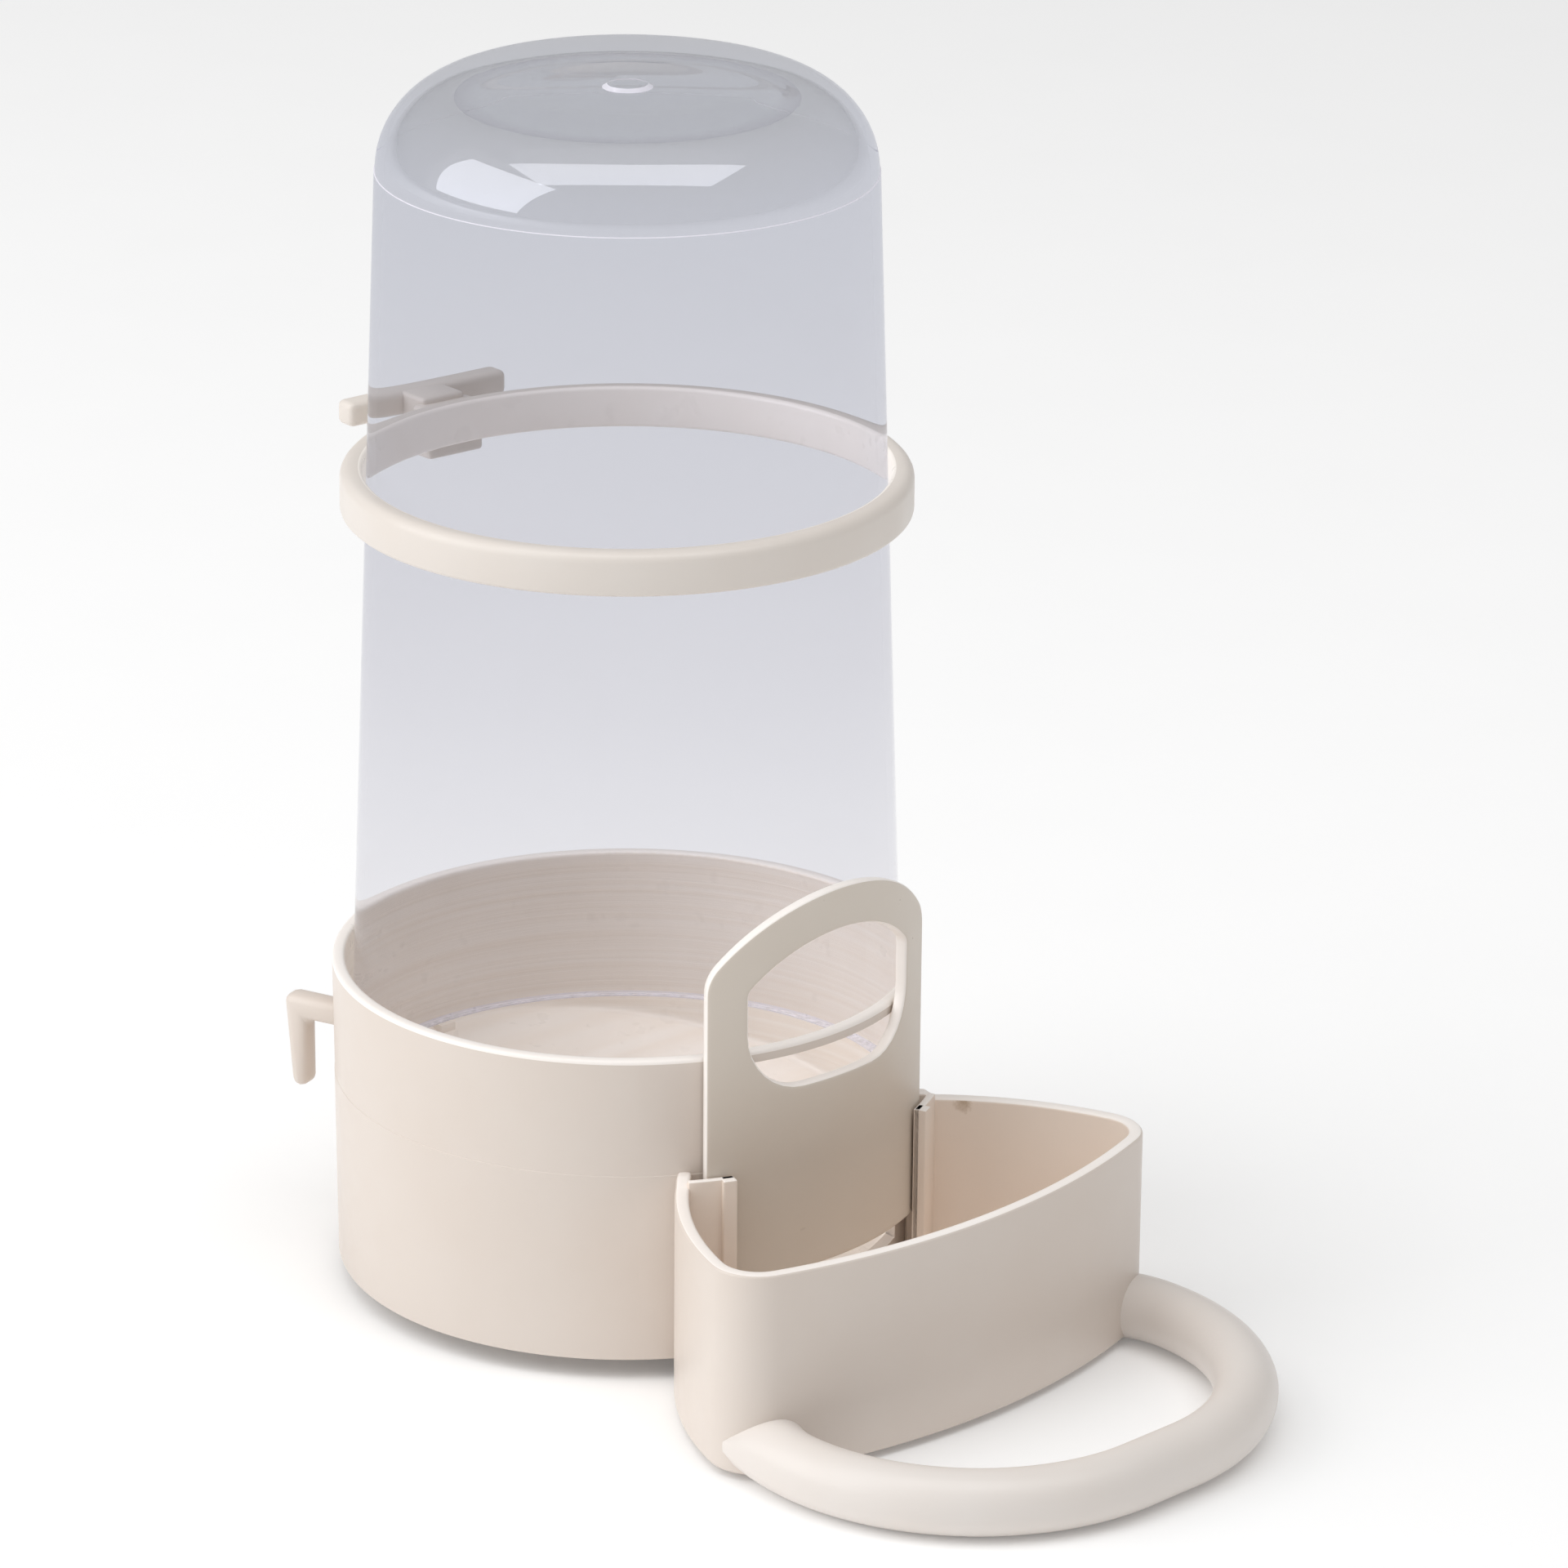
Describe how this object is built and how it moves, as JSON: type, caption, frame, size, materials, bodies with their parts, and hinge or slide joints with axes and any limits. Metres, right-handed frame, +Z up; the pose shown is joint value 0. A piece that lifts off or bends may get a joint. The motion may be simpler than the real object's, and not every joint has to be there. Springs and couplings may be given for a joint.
{
  "type": "automatic water drinker for a bird cage",
  "caption": "Upside-down tapered bottle standing in a hooked base cup with a flared drinking trough, a U-shaped perch, a sliding shutter and a clip-in retaining ring.",
  "frame": {"origin": "on the bottle's axis, at the level surface that the base and the perch stand on", "axes": "+Z up along the bottle's axis, -Y towards the trough and the perch, +Y towards the cage hooks"},
  "size_m": [0.072, 0.1384, 0.1512],
  "materials": {
    "ivory": "fine moulded grain, satin",
    "clear": "clear, polished, faint lavender tint"
  },
  "bodies": {
    "base": {"base_cup": "ivory", "trough": "ivory", "perch": "ivory"},
    "shutter": {"shutter": "ivory"},
    "bottle": {"bottle": "clear"},
    "ring": {"retaining_ring": "ivory"}
  },
  "joints": [
    {"name": "shutter_slide", "type": "slide", "parent": "base", "child": "shutter", "axis": [0, 0, 1], "range_m": [-0.0096, 0.0134]},
    {"name": "bottle_lift", "type": "slide", "parent": "base", "child": "bottle", "axis": [0, 0, 1], "range_m": [0, 0.02]},
    {"name": "ring_lift", "type": "slide", "parent": "bottle", "child": "ring", "axis": [0, 0, 1], "range_m": [0, 0.054]}
  ]
}
